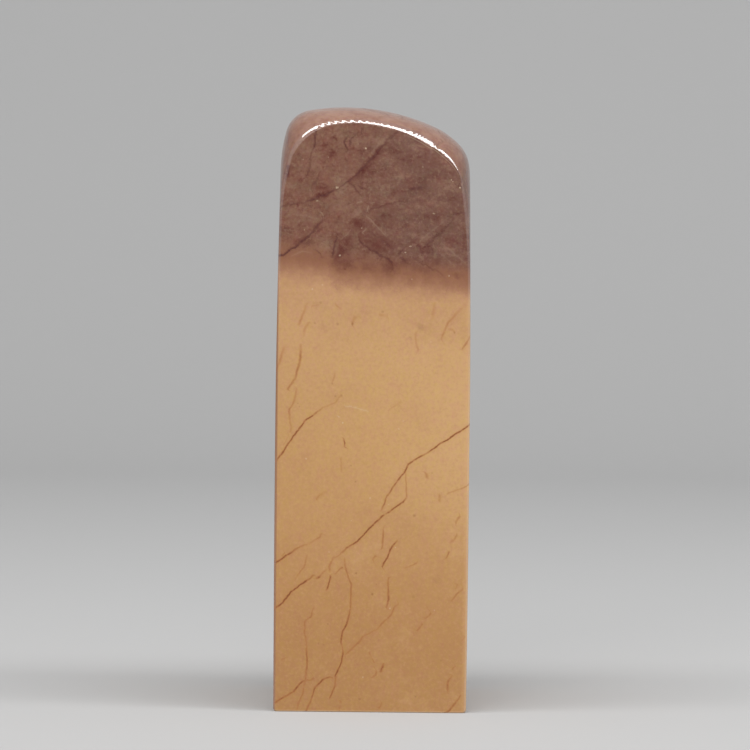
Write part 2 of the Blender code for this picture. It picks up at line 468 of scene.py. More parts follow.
def new_group(name, inputs, outputs):
    """An empty node group. Gives the group, a helper for its nodes, its inputs and its outputs."""
    tree = bpy.data.node_groups.new(name, "ShaderNodeTree")
    for label, kind in inputs:
        tree.interface.new_socket(label, in_out="INPUT", socket_type="NodeSocket" + kind)
    for label in outputs:
        tree.interface.new_socket(label, in_out="OUTPUT", socket_type="NodeSocketFloat")
    given = tree.nodes.new("NodeGroupInput").outputs
    result = tree.nodes.new("NodeGroupOutput").inputs
    return tree, Nodes(tree), given, result


def colour(red, green, blue):
    """A colour as a painter names it, 0 to 255 on screen, as the linear light a shader wants."""
    def linear(level):
        level /= 255.0
        return level / 12.92 if level <= 0.04045 else ((level + 0.055) / 1.055) ** 2.4
    return linear(red), linear(green), linear(blue), 1.0


# The stone's colours. Some also paint light: the body's pale, dark and vein tones also paint side light and
# shade and the edges' shade and highlights, and the rim tone paints top light and sheen on the head. The
# body's tones are given from the base up, with their heights in metres.
BODY_TONES = ((0.002, (178, 132, 83)), (0.009, (180, 133, 83)), (0.015, (184, 137, 87)),
              (0.021, (189, 143, 93)), (0.027, (195, 150, 99)), (0.034, (199, 155, 103)),
              (0.046, (201, 158, 109)), (0.054, (194, 150, 108)))
BODY_PALE = colour(214, 172, 124)
BODY_DARK = colour(168, 120, 78)
SEAM_SAND = colour(176, 130, 98)
SEAM_RUST = colour(143, 96, 71)
HEAD_LEFT = colour(127, 87, 70)
HEAD_RIGHT = colour(116, 80, 67)
# painted top light and sheen: the lighter tone laid over the head's rim
RIM_PAINTED_LIGHT = colour(148, 116, 101)
RIM_MAUVE = colour(130, 92, 80)
HEAD_DARK = colour(92, 40, 32)
HEAD_PALE = colour(146, 112, 92)
BODY_VEIN = colour(130, 75, 38)
BODY_STAIN = colour(178, 112, 58)
HEAD_VEIN = colour(78, 24, 22)
PALE_SPECK = colour(214, 190, 160)

# Tints that multiply a tone
PINKENED = (0.99, 0.945, 1.02, 1.0)
YELLOWED = (1.0, 1.015, 0.93, 1.0)
REDDENED = (1.0, 0.86, 0.88, 1.0)
GREENED = (0.94, 1.06, 1.02, 1.0)

# Painted side light and shade: how much paler the body is painted towards its right side, and darker towards
# its left, by share of the height
PAINTED_SIDE_LIGHT = ((0.0, 0.1), (0.22, 0.12), (0.3, 0.3), (0.42, 1.0), (0.58, 0.7), (0.68, 0.0), (1.0, 0.0))

# Veins, as seen on the front face: each is a sheet that dips back through the stone. Points are x and
# z in millimetres and, where given, how strongly the vein shows there. Widths are in millimetres.
UPRIGHT, LEANING, LEVEL = "upright", "leaning", "level"
BODY_VEINS = (
    (LEANING, 0.12, 1.0, ((15.1, 39.0, 0.0), (12.1, 37.0), (11.6, 36.6, 0.8), (10.7, 36.1), (9.6, 35.3),
        (8.8, 34.9, 0.8), (8.1, 34.3), (7.6, 34.0, 0.9), (6.9, 33.5, 0.4), (6.3, 33.2), (5.5, 32.7, 0.8),
        (4.6, 32.1, 0.8), (4.3, 31.2, 0.9), (3.7, 30.6, 0.8), (1.9, 27.9, 0.65), (1.6, 26.9, 0.8),
        (1.1, 25.8, 0.1))),
    (LEANING, 0.12, 1.0, ((4.5, 27.9, 0.4), (4.0, 27.2, 0.9), (2.1, 25.9, 0.8), (1.7, 25.6, 0.15),
        (1.5, 25.5, 0.8), (1.0, 25.0), (0.4, 24.5), (-1.8, 22.1), (-3.1, 21.3, 0.8), (-4.0, 20.4, 0.35),
        (-4.8, 19.9, 0.3))),
    (UPRIGHT, 0.1, 0.6, ((4.3, 31.4, 0.5), (4.5, 27.9, 0.9))),
    (UPRIGHT, 0.16, 0.6, ((-4.8, 20.1, 0.4), (-5.1, 19.5, 0.9), (-5.4, 18.8, 0.8), (-5.3, 18.0, 0.4))),
    (UPRIGHT, 0.12, 0.95, ((-5.3, 17.7, 0.4), (-5.2, 17.4), (-5.4, 16.6), (-5.6, 15.9, 0.8))),
    (LEANING, 0.12, 0.9, ((-4.0, 41.0, 0.2), (-4.8, 40.0, 0.3), (-6.4, 39.3, 0.35), (-7.8, 38.2, 0.9),
        (-8.7, 37.6), (-11.0, 34.3), (-11.3, 33.7, 0.9), (-11.9, 33.0, 0.9), (-14.1, 29.7, 0.5),
        (-15.6, 27.3, 0.0))),
    (LEANING, 0.1, 0.25, ((-10.7, 35.9, 0.5), (-11.5, 34.2, 0.8))),
    (UPRIGHT, 0.17, 0.6, ((-9.3, 47.4, 0.4), (-9.3, 45.8), (-9.5, 44.8, 0.8), (-9.7, 44.2), (-9.9, 43.2, 0.8),
        (-10.9, 41.6, 0.9))),
    (UPRIGHT, 0.15, 0.5, ((-9.7, 41.9, 0.4), (-10.1, 40.0, 0.7), (-10.7, 39.0), (-10.6, 37.5, 0.7),
        (-10.4, 36.8, 0.5), (-10.6, 36.0, 0.6))),
    (UPRIGHT, 0.2, 0.42, ((-8.5, 52.7, 0.3), (-9.3, 50.7), (-9.6, 49.9, 0.6))),
    (UPRIGHT, 0.24, 0.28, ((-8.3, 50.2, 0.9), (-8.7, 49.5), (-9.0, 48.4, 0.3))),
    (UPRIGHT, 0.21, 0.48, ((-11.4, 47.1, 0.4), (-11.9, 45.5, 0.9), (-12.0, 45.0, 0.6), (-12.3, 44.5, 0.8),
        (-12.7, 43.6, 0.5))),
    (LEANING, 0.14, 0.9, ((-6.3, 23.3, 0.25), (-6.6, 22.6, 0.45), (-7.7, 21.9, 0.25), (-9.5, 21.2, 0.5),
        (-10.7, 20.3), (-12.4, 19.2), (-16.8, 16.3, 0.0))),
    (LEANING, 0.1, 0.35, ((-11.0, 20.5), (-11.6, 20.1))),
    (LEANING, 0.13, 1.0, ((-7.4, 17.7, 0.5), (-7.9, 17.2, 0.7), (-8.3, 17.0, 0.9), (-10.3, 15.5),
        (-11.3, 14.1), (-12.4, 13.3, 0.9), (-15.5, 11.3, 0.0))),
    (LEANING, 0.16, 0.8, ((-5.6, 18.6, 0.2), (-6.4, 17.8, 0.5), (-6.7, 17.5), (-7.0, 17.3, 0.7))),
    (UPRIGHT, 0.14, 0.4, ((-8.3, 20.2, 0.5), (-8.6, 18.7), (-9.2, 18.0), (-9.8, 17.0, 0.4))),
    (UPRIGHT, 0.13, 1.0, ((-3.4, 19.9, 0.25), (-3.4, 19.1, 0.45), (-2.9, 17.4, 0.55), (-2.5, 16.6, 0.6),
        (-2.6, 13.3, 0.45), (-3.0, 11.6, 0.9), (-3.3, 11.0), (-3.6, 10.5, 0.8), (-3.8, 9.0, 0.9),
        (-3.6, 8.6, 0.2), (-3.5, 7.8, 0.7), (-3.6, 7.0, 0.9), (-3.7, 6.4, 0.8), (-4.3, 5.0), (-4.5, 4.7, 0.7),
        (-4.4, 4.2, 0.4), (-4.5, 3.4, 0.6), (-5.1, 1.9, 0.8))),
    (LEANING, 0.12, 0.75, ((-3.6, 18.8), (-4.2, 18.3, 0.8), (-4.6, 17.9, 0.4))),
    (LEANING, 0.13, 0.85, ((-5.0, 4.6, 0.6), (-6.0, 4.2), (-7.1, 3.1), (-7.6, 1.3, 0.7), (-8.0, 0.6, 0.8),
        (-8.6, -1.1, 0.6))),
    (LEANING, 0.13, 0.7, ((3.7, 14.1, 0.5), (3.1, 13.7, 0.6), (2.7, 12.7, 0.7), (2.1, 12.1, 0.5),
        (1.5, 11.6, 0.9), (0.8, 10.7, 0.4), (-0.9, 9.9, 0.4), (-1.4, 9.1), (-2.0, 8.6, 0.7), (-3.0, 7.6, 0.6),
        (-3.4, 7.2, 0.3))),
    (UPRIGHT, 0.13, 0.75, ((-7.3, 13.6, 0.4), (-7.7, 12.2, 0.8), (-8.3, 12.0, 0.6), (-8.5, 11.6, 0.5),
        (-8.4, 11.1, 0.6), (-8.5, 10.3, 0.7), (-8.3, 9.6, 0.4), (-8.2, 8.5, 0.4), (-8.2, 7.7, 0.8),
        (-8.1, 6.7), (-8.3, 4.2, 0.6), (-8.4, 3.6, 0.3), (-8.6, 2.4, 0.6), (-9.2, 1.1, 0.6),
        (-9.3, 0.3, 0.4))),
    (LEANING, 0.13, 0.95, ((-7.1, 4.4, 0.5), (-7.6, 4.1, 0.35), (-8.3, 4.1, 0.5), (-9.0, 3.7, 0.9),
        (-9.8, 2.6), (-10.5, 2.2, 0.6), (-12.3, 1.1), (-15.4, -0.6, 0.0))),
    (LEANING, 0.11, 0.3, ((-10.7, 7.1, 0.6), (-11.4, 6.7))),
    (UPRIGHT, 0.13, 0.6, ((1.6, 24.1, 0.3), (1.5, 23.1), (1.4, 21.2, 0.8))),
    (LEANING, 0.13, 1.0, ((3.4, 22.3, 0.35), (3.0, 21.9, 0.8), (2.5, 21.2, 0.9), (2.2, 20.3),
        (1.4, 18.8, 0.7))),
    (LEANING, 0.15, 0.45, ((0.7, 20.4, 0.7), (0.1, 19.8))),
    (LEVEL, 0.13, 0.5, ((5.9, 19.4, 0.8), (5.3, 19.1), (4.2, 18.7, 0.5))),
    (UPRIGHT, 0.14, 0.7, ((2.3, 17.5, 0.5), (2.2, 16.8, 0.8), (2.3, 15.0), (2.2, 14.1), (1.9, 13.5, 0.5))),
    (LEVEL, 0.12, 0.5, ((15.2, 31.0, 0.0), (12.4, 29.6, 0.9), (12.1, 29.3, 0.8), (9.7, 28.4, 0.5))),
    (UPRIGHT, 0.18, 0.45, ((8.7, 28.2, 0.9), (8.7, 27.4, 0.7))),
    (LEANING, 0.15, 0.5, ((11.5, 25.6, 0.6), (11.1, 25.2), (10.8, 24.6, 0.8))),
    (LEANING, 0.15, 0.4, ((11.0, 23.1, 0.8), (10.7, 22.5), (10.1, 22.1, 0.4))),
    (UPRIGHT, 0.12, 0.6, ((10.0, 20.9), (9.8, 20.3, 0.9), (9.6, 19.9, 0.5))),
    (LEANING, 0.13, 0.55, ((11.9, 16.1, 0.5), (11.1, 15.5), (10.7, 14.9, 0.9), (10.3, 14.4, 0.4))),
    (UPRIGHT, 0.12, 0.3, ((11.1, 16.8), (11.0, 16.2))),
    (UPRIGHT, 0.22, 0.4, ((7.0, 31.1, 0.9), (7.1, 30.4))),
    (UPRIGHT, 0.11, 0.9, ((-3.7, 35.4, 0.6), (-3.5, 34.7), (-3.6, 34.2, 0.8))),
    (UPRIGHT, 0.14, 0.25, ((-4.0, 32.8), (-3.9, 31.2))),
    (LEANING, 0.18, 0.35, ((-5.9, 28.5, 0.4), (-6.7, 28.0, 0.8), (-7.1, 27.5))),
    (LEANING, 0.18, 0.4, ((11.7, 52.7, 0.2), (9.5, 50.3), (9.2, 49.4, 0.7), (8.8, 48.6), (8.7, 48.2, 0.7))),
    (LEANING, 0.14, 0.55, ((14.3, 51.0, 0.0), (12.4, 48.6, 0.8), (12.0, 47.8, 0.9), (11.6, 47.4),
        (11.4, 46.8, 0.6))),
    (LEVEL, 0.18, 0.3, ((9.7, 49.6, 0.6), (10.1, 49.5, 0.8), (10.4, 49.2))),
    (LEANING, 0.24, 0.35, ((-2.3, 51.2, 0.5), (-2.8, 50.0))),
    (UPRIGHT, 0.15, 0.25, ((5.4, 49.1), (5.5, 47.7, 0.8), (5.8, 46.7))),
    (UPRIGHT, 0.2, 0.25, ((7.8, 52.9, 0.5), (7.7, 51.7), (7.5, 50.8, 0.6))),
    (LEVEL, 0.16, 0.3, ((-4.9, 52.6), (-4.2, 52.0, 0.7))),
    (LEVEL, 0.2, 0.25, ((1.9, 51.1, 0.7), (0.8, 51.3))),
    (LEANING, 0.13, 0.25, ((-8.0, 52.3), (-7.1, 52.5, 0.7))),
    (LEANING, 0.12, 0.2, ((3.7, 40.3, 0.7), (1.9, 38.9, 0.8))),
    (LEANING, 0.14, 0.25, ((-4.9, 43.6), (-5.2, 42.5))),
    (UPRIGHT, 0.17, 0.8, ((1.7, 6.3, 0.6), (1.6, 5.8), (1.4, 5.3, 0.9))),
    (LEANING, 0.16, 0.5, ((0.9, 5.5, 0.8), (0.7, 4.9), (0.3, 4.5, 0.8))),
    (UPRIGHT, 0.13, 0.4, ((-0.2, 7.9, 0.7), (0.5, 6.4))),
    (LEANING, 0.14, 0.5, ((6.7, 11.6, 0.8), (6.4, 11.1), (6.0, 10.6, 0.7))),
    (LEANING, 0.15, 0.4, ((7.9, 13.1), (7.5, 12.6), (6.8, 12.1, 0.5))),
    (LEANING, 0.12, 0.35, ((11.0, 6.1), (10.5, 5.6))),
    (UPRIGHT, 0.14, 0.65, ((10.8, 5.0, 0.5), (10.1, 4.2, 0.9), (10.0, 3.6), (10.1, 2.4, 0.3))),
    (LEANING, 0.14, 0.7, ((11.7, 2.4, 0.5), (11.4, 1.8, 0.8), (10.3, 0.4), (9.9, 0.1, 0.9),
        (9.1, -0.2, 0.4))),
    (LEANING, 0.16, 0.45, ((1.7, 1.2, 0.7), (1.2, 0.5))),
    (UPRIGHT, 0.12, 0.3, ((12.2, 10.0, 0.8), (11.8, 9.3))),
    (UPRIGHT, 0.15, 0.3, ((-4.0, 1.7), (-3.6, 1.3))),
    (UPRIGHT, 0.12, 0.3, ((-3.9, 0.7), (-3.9, 0.0))),
)
HEAD_VEINS = (
    (LEANING, 0.14, 0.75, ((2.9, 74.9, 0.4), (1.1, 73.2), (-0.1, 71.6, 0.9), (-0.7, 71.1), (-2.4, 69.0),
        (-3.3, 68.4))),
    (LEVEL, 0.13, 0.9, ((-3.2, 68.5), (-4.3, 67.7, 0.6), (-6.2, 66.7), (-8.1, 65.9, 0.9), (-9.3, 65.6, 0.4),
        (-10.3, 65.5, 0.8), (-11.5, 65.1, 0.7), (-12.6, 64.8), (-17.2, 63.3, 0.0))),
    (LEVEL, 0.1, 0.8, ((-3.3, 68.4, 0.6), (-2.7, 67.7), (-2.1, 67.0), (-1.8, 66.6, 0.4))),
    (UPRIGHT, 0.1, 0.95, ((-7.6, 75.9, 0.3), (-7.6, 74.9), (-7.7, 73.8, 0.8), (-7.8, 72.8), (-8.0, 72.4, 0.2),
        (-8.3, 71.4, 0.35), (-8.3, 70.7, 0.3), (-8.5, 69.6, 0.6), (-8.7, 69.0, 0.4))),
    (UPRIGHT, 0.11, 1.0, ((-3.7, 74.2, 0.5), (-3.9, 73.3), (-3.8, 72.8), (-3.5, 72.2, 0.8))),
    (UPRIGHT, 0.1, 0.9, ((-2.7, 74.3, 0.6), (-3.1, 73.7), (-3.1, 72.9, 0.4))),
    (UPRIGHT, 0.13, 0.9, ((-11.0, 70.3, 0.8), (-11.2, 69.0), (-11.4, 68.5, 0.5), (-11.5, 67.9, 0.2))),
    (UPRIGHT, 0.3, 0.55, ((5.7, 75.2, 0.5), (5.4, 74.4), (5.2, 73.4, 0.8))),
    (UPRIGHT, 0.1, 0.6, ((-7.0, 69.5, 0.4), (-7.1, 68.9, 0.8), (-8.0, 67.8, 0.8), (-8.2, 67.2, 0.5))),
    (UPRIGHT, 0.08, 0.4, ((-6.1, 71.3, 0.6), (-6.5, 70.8))),
    (LEANING, 0.15, 0.9, ((-6.5, 63.5, 0.4), (-6.8, 63.1, 0.7), (-7.7, 62.3, 0.9), (-8.4, 61.3, 0.9),
        (-9.3, 60.5), (-11.5, 59.0), (-17.2, 55.9, 0.0))),
    (LEVEL, 0.25, 0.5, ((-9.0, 60.4, 0.5), (-8.4, 60.5), (-7.7, 60.5, 0.4))),
    (LEVEL, 0.15, 0.5, ((-7.8, 59.8, 0.5), (-7.1, 59.2), (-6.5, 58.5, 0.5))),
    (UPRIGHT, 0.1, 0.8, ((-4.7, 61.6, 0.5), (-4.9, 60.7), (-5.4, 58.7, 0.8))),
    (UPRIGHT, 0.1, 0.6, ((-4.5, 63.9, 0.6), (-4.7, 63.0, 0.5))),
    (LEVEL, 0.2, 0.45, ((-0.7, 62.0, 0.4), (0.6, 61.2), (1.6, 60.5), (2.5, 59.6, 0.6))),
    (LEVEL, 0.12, 0.75, ((-2.1, 61.6, 0.4), (-1.9, 60.6), (-1.2, 60.1), (1.1, 58.9), (1.8, 58.4), (2.4, 57.8),
        (2.5, 56.8, 0.5))),
    (LEANING, 0.1, 0.7, ((3.1, 59.1, 0.6), (3.4, 59.4), (4.0, 59.8, 0.6))),
    (LEVEL, 0.12, 0.6, ((3.3, 58.9, 0.5), (3.8, 58.4), (4.6, 57.6, 0.4))),
    (LEVEL, 0.13, 0.8, ((5.5, 60.4, 0.6), (6.0, 60.0), (6.3, 59.4, 0.7))),
    (LEANING, 0.14, 0.55, ((6.3, 59.9, 0.7), (8.5, 62.0), (10.3, 63.8, 0.5))),
    (LEVEL, 0.14, 0.8, ((9.9, 64.2, 0.5), (10.6, 64.4), (11.2, 64.5, 0.6))),
    (LEVEL, 0.28, 0.8, ((4.3, 67.4, 0.4), (5.0, 67.5), (5.9, 67.6, 0.8), (6.6, 67.7, 0.3))),
    (LEVEL, 0.12, 0.4, ((-1.7, 64.2, 0.5), (-0.3, 64.9), (2.6, 65.7), (5.8, 66.1, 0.3))),
    (LEVEL, 0.12, 0.4, ((5.0, 58.6, 0.6), (6.9, 57.6), (8.9, 56.6, 0.5))),
)
HEAD_PALE_VEINS = (
    (LEVEL, 0.14, 0.6, ((-1.1, 64.0), (-0.2, 63.2), (0.7, 62.2), (1.6, 61.3, 0.6))),
    (LEANING, 0.14, 0.4, ((5.7, 60.6), (7.1, 62.0), (8.5, 63.0), (9.4, 63.9, 0.5))),
    (LEVEL, 0.16, 0.45, ((8.5, 60.7, 0.6), (9.7, 59.7), (11.9, 57.9, 0.8))),
    (LEVEL, 0.14, 0.3, ((7.5, 60.1, 0.5), (9.2, 58.7), (10.9, 57.0, 0.5))),
    (LEVEL, 0.1, 0.3, ((-10.6, 64.1, 0.4), (-8.8, 63.9), (-7.2, 63.5, 0.6))),
    (LEVEL, 0.1, 0.3, ((-11.6, 62.1), (-9.5, 61.9, 0.6))),
    (LEANING, 0.12, 0.5, ((-4.3, 60.9, 0.7), (-3.6, 61.5), (-2.9, 62.3, 0.4))),
    (LEANING, 0.22, 0.5, ((-0.4, 72.0, 0.4), (0.5, 73.2), (1.6, 74.2, 0.6))),
    (UPRIGHT, 0.08, 0.9, ((-0.8, 65.2), (-1.0, 64.5))),
    (LEVEL, 0.09, 0.8, ((-2.1, 65.7), (-1.7, 65.8))),
    (LEVEL, 0.07, 0.8, ((-0.5, 65.6), (-0.1, 65.7))),
    (UPRIGHT, 0.08, 0.8, ((-1.1, 62.3), (-1.5, 61.8), (-1.2, 61.5, 0.5))),
    (LEVEL, 0.1, 0.5, ((-10.6, 58.7, 0.5), (-9.2, 59.4), (-8.0, 59.2, 0.5))),
    (LEVEL, 0.1, 0.8, ((-6.9, 64.4), (-6.5, 63.9))),
)

# Softer clouds, most of them in the head: place and half sizes in millimetres, lean in degrees,
# strength. The first list is dark and the second pale.
DARK_CLOUDS = (
    ((-1.6, 69.6), (1.7, 0.55), -46.0, 1.0),
    ((0.3, 72.0), (1.7, 0.42), -50.0, 0.9),
    ((-6.7, 66.7), (1.5, 0.50), -20.0, 1.0),
    ((-6.7, 67.5), (1.1, 0.45), -5.0, 0.8),
    ((-8.9, 67.5), (1.2, 1.2), 0.0, 0.3),
    ((-5.2, 73.8), (0.45, 0.36), 0.0, 1.0),
    ((-7.5, 72.3), (0.2, 0.14), 0.0, 0.8),
    ((-6.5, 70.2), (0.2, 0.18), 0.0, 0.7),
    ((-3.9, 59.9), (2.3, 1.15), -62.0, 0.95),
    ((-1.8, 61.4), (0.6, 1.2), 0.0, 0.6),
    ((-3.6, 57.8), (2.1, 1.2), 0.0, 0.6),
    ((-1.9, 62.8), (1.4, 1.0), 10.0, 0.85),
    ((0.4, 60.1), (3.5, 1.1), 42.0, 0.7),
    ((1.4, 61.0), (2.2, 0.5), 42.0, 0.5),
    ((2.1, 57.6), (1.4, 1.7), 0.0, 0.6),
    ((-0.7, 57.3), (1.9, 1.0), 0.0, 0.35),
    ((3.8, 58.1), (0.8, 0.9), 0.0, 0.35),
    ((5.6, 57.4), (2, 0.6), 25.0, 0.35),
    ((8.1, 58.2), (0.6, 1), 30.0, 0.45),
    ((11.6, 61.4), (0.3, 1.2), 0.0, 0.5),
    ((1.4, 63.2), (1.6, 1), 0.0, 0.35),
    ((7.0, 71.8), (2.4, 0.7), 40.0, 0.4),
    ((10.8, 56.4), (0.9, 0.5), 0.0, 0.35),
    ((-11.1, 69.5), (0.3, 0.7), 0.0, 0.4),
    ((-9.5, 60.7), (1.5, 0.45), -32.0, 0.5),
    ((2.6, 64.1), (2.6, 1.4), 0.0, 0.2),
    ((6.1, 49.8), (0.55, 0.75), 0.0, 0.2),
    ((-2.7, 50.3), (0.3, 0.4), 0.0, 0.2),
    ((4.7, 48.3), (0.3, 0.3), 0.0, 0.22),
    ((8.5, 17.3), (0.9, 0.6), 0.0, 0.1),
    ((-6.9, 52.4), (1.3, 0.5), 20.0, 0.07),
)
PALE_CLOUDS = (
    ((-8.9, 64.3), (2.4, 1.1), 10.0, 0.3),
    ((-2.2, 64.5), (0.75, 0.95), 0.0, 0.55),
    ((-3.7, 65.3), (1.6, 1.3), 0.0, 0.3),
    ((-7.9, 71.3), (2.2, 1.8), 50.0, 0.2),
    ((-2.6, 73.5), (2.4, 0.9), 8.0, 0.3),
    ((-2.8, 58.0), (0.7, 1), 0.0, 0.4),
    ((6.4, 61.0), (2.6, 0.6), -35.0, 0.25),
    ((8.5, 67.9), (1.3, 1.1), 0.0, 0.3),
    ((3.0, 61.9), (1.8, 0.9), -20.0, 0.2),
    ((8.4, 65.1), (1.6, 0.7), -10.0, 0.25),
    ((-7.4, 59.7), (1.4, 0.5), 10.0, 0.4),
)
CLOUD_DEPTH = 6.0            # how far each cloud reaches back from the front face

# Specks: x and z in millimetres, half width, strength
PALE_SPECKS = (
    (-1.2, 72.6, 0.13, 1), (-4.9, 67.6, 0.15, 0.7), (-4.7, 67.6, 0.13, 0.6),
    (-4.4, 58.9, 0.14, 0.8), (4.0, 59.3, 0.11, 0.7), (9.8, 68.7, 0.11, 0.8),
    (10.0, 68.5, 0.09, 0.6), (10.9, 67.7, 0.13, 1), (-6.6, 55.1, 0.10, 0.6),
    (-7.9, 54.5, 0.11, 0.7), (9.6, 56.4, 0.11, 0.6), (4.9, 55.9, 0.10, 0.5),
    (-9.2, 71.1, 0.08, 0.5), (-6.0, 71.4, 0.08, 0.6), (-2.2, 73.2, 0.07, 0.4),
    (-1.6, 62.4, 0.08, 0.7), (-3.8, 37.4, 0.12, 0.8), (-4.3, 38.2, 0.11, 0.6),
    (-4.5, 38.3, 0.08, 0.4), (-8.5, 32.7, 0.12, 0.55), (-0.2, 27.7, 0.12, 0.5),
    (3.4, 36.7, 0.11, 0.5), (7.4, 47.9, 0.11, 0.5), (-0.9, 4.6, 0.13, 0.5), (3.1, 21.4, 0.10, 0.5),
    (2.5, 13.5, 0.12, 0.5), (8.2, 13.3, 0.13, 0.4), (2.2, 26.9, 0.12, 0.35),
    (4.0, 37.7, 0.12, 0.35), (-5.4, 20.7, 0.10, 0.4), (-2.6, 24.8, 0.09, 0.35),
)
DARK_SPECKS = (
    (-3.7, 57.1, 0.15, 1.0), (5.5, 25.5, 0.25, 0.45), (-2.7, 50.1, 0.20, 0.4),
    (-7.5, 50.2, 0.18, 0.45), (-4.6, 50.1, 0.20, 0.4), (-6.8, 52.8, 0.20, 0.4),
    (10.4, 49.1, 0.16, 0.4), (-1.9, 18.0, 0.16, 0.6), (0.2, 15.3, 0.19, 0.7),
    (0.7, 16.6, 0.12, 0.35), (-2.1, 29.8, 0.16, 0.5), (-2.7, 31.9, 0.12, 0.4),
    (5.9, 2.1, 0.17, 0.5), (-1.3, 1.7, 0.18, 0.4), (-5.5, 11.4, 0.14, 0.5), (-6.7, 8.9, 0.16, 0.3),
    (-6.0, 8.7, 0.14, 0.3), (9.1, 6.8, 0.16, 0.3), (-9.4, 39.4, 0.12, 0.4), (-5.2, 42.4, 0.16, 0.3),
    (5.5, 15.0, 0.20, 0.35), (7.7, 31.0, 0.13, 0.35), (1.2, 51.7, 0.18, 0.4),
    (-9.6, 39.8, 0.15, 0.35), (-4.0, 40.9, 0.18, 0.4), (-4.8, 40.8, 0.14, 0.35),
)
BODY_PALE_VEINS = (
    (LEVEL, 0.08, 1.8, ((-3.6, 39.5, 0.6), (-2.7, 39.5, 0.9), (-2.5, 39.4, 0.4), (-2.2, 39.4),
        (-1.9, 39.3, 0.6), (-1.5, 39.1, 0.9), (-0.8, 39.0, 0.7), (-0.6, 38.8, 0.6))),
    (LEVEL, 0.16, 0.35, ((6.2, 47.4, 0.8), (7.0, 46.8))),
    (LEVEL, 0.16, 0.3, ((7.4, 47.4, 0.8), (8.3, 47.2))),
    (LEVEL, 0.12, 0.3, ((-3.5, 43.5, 0.7), (-2.3, 43.1, 0.8))),
)
DIPS = {UPRIGHT: (0.20, 0.35), LEANING: (-0.15, -0.45), LEVEL: (0.10, 0.30)}
FRAMES = {UPRIGHT: ((0.0, 0.0, 1.0), (1.0, 0.0, 0.0)),
          LEANING: ((math.sqrt(0.5), 0.0, math.sqrt(0.5)), (math.sqrt(0.5), 0.0, -math.sqrt(0.5))),
          LEVEL: ((1.0, 0.0, 0.0), (0.0, 0.0, 1.0))}
REACH = 90.0                 # how far either way a track's centre can lie across its frame
TRACK_GAP = 0.6              # the least gap between two veins that share a track

# Where the yellow ends and where the mauve begins, on the front face: x and height in millimetres
SEAM_BELOW = ((-12.5, 54.7), (-8.6, 54.3), (-6.4, 54.4), (-4.2, 53.7), (0.2, 53.2), (4.5, 53.0),
              (8.9, 52.6), (12.5, 52.8))
SEAM_ABOVE = ((-12.5, 62.0), (-8.6, 61.6), (-6.4, 61.0), (-4.2, 59.6), (-2.1, 60.0), (2.3, 59.6),
              (12.5, 58.9))
SEAM_LOWEST, SEAM_HIGHEST = 50.0, 65.0


def vein_tracks(veins, frame_name):
    """Sorts the veins drawn in one frame into tracks. A track is a row of veins that follow one
    another along the frame; a vein is a row of (along, across, half width, strength)."""
    along_axis, across_axis = (np.array(axis)[[0, 2]] for axis in FRAMES[frame_name])
    runs = []
    for name, half_width, strength, points in veins:
        if name == frame_name:
            places = [np.array(point[:2]) for point in points]
            shows = [strength * (point[2] if len(point) > 2 else 1.0) for point in points]
            runs.append(sorted((float(place @ along_axis), float(place @ across_axis), half_width, show)
                               for place, show in zip(places, shows)))
    tracks = []
    for run in sorted(runs):
        home = next((track for track in tracks if track[-1][-1][0] + TRACK_GAP < run[0][0]), None)
        if home is None:
            tracks.append([run])
        else:
            home.append(run)
    return tracks


def vein_line_group():
    """How strongly a vein shows at a place, from how far across its frame the place lies."""
    inputs = [(name, "Float") for name in ("Across", "Centre", "Half Width", "Strength")]
    tree, nodes, given, result = new_group("vein line", inputs, ("Line", "Halo"))
    away = nodes.math("ABSOLUTE", nodes.math("SUBTRACT", given["Across"], given["Centre"]))
    in_widths = nodes.math("DIVIDE", away, given["Half Width"])
    line = nodes.math("MULTIPLY_ADD", in_widths, -0.85, 1.2, clamp=True)
    near = nodes.math("MULTIPLY_ADD", in_widths, -0.2, 1.0, clamp=True)
    nodes.feed(result["Line"], nodes.times(line, given["Strength"]))
    nodes.feed(result["Halo"], nodes.times(near, near, given["Strength"]))
    return tree


def veins_group(name, veins, vein_line):
    """The strongest line and halo of a list of veins at each place, sorted into tracks."""
    tree, nodes, given, result = new_group(name, (("Place", "Vector"), ("Depth", "Float")), ("Line", "Halo"))
    line, halo = 0.0, 0.0
    for frame_name, (along_axis, across_axis) in FRAMES.items():
        dip_x, dip_z = DIPS[frame_name]
        dip = nodes.add("CombineXYZ", X=nodes.times(given["Depth"], dip_x),
                        Z=nodes.times(given["Depth"], dip_z)).outputs[0]
        dipped = nodes.vector("ADD", given["Place"], dip)
        along = nodes.vector("DOT_PRODUCT", dipped, along_axis)
        across = nodes.vector("DOT_PRODUCT", dipped, across_axis)
        for track in vein_tracks(veins, frame_name):
            start, end = track[0][0][0] - TRACK_GAP, track[-1][-1][0] + TRACK_GAP
            position = nodes.math("DIVIDE", nodes.math("SUBTRACT", along, start), end - start, clamp=True)
            points = [point for run in track for point in run]
            centre = [((a - start) / (end - start), (b + REACH) / (2 * REACH)) for a, b, _, _ in points]
            width = [((a - start) / (end - start), c) for a, _, c, _ in points]
            strength = [(0.0, 0.0)]
            for run in track:
                ends = [(run[0][0] - TRACK_GAP / 3, 0.0)] + [(a, d) for a, _, _, d in run]
                ends.append((run[-1][0] + TRACK_GAP / 3, 0.0))
                strength += [((a - start) / (end - start), d) for a, d in ends]
            strength.append((1.0, 0.0))
            centre = nodes.math("MULTIPLY_ADD", nodes.curve(position, centre), 2 * REACH, -REACH)
            shown = nodes.group(vein_line, Across=across, Centre=centre,
                                Half_Width=nodes.curve(position, width),
                                Strength=nodes.curve(position, strength))
            line = nodes.most(line, shown["Line"])
            halo = nodes.most(halo, shown["Halo"])
    nodes.feed(result["Line"], line)
    nodes.feed(result["Halo"], halo)
    return tree


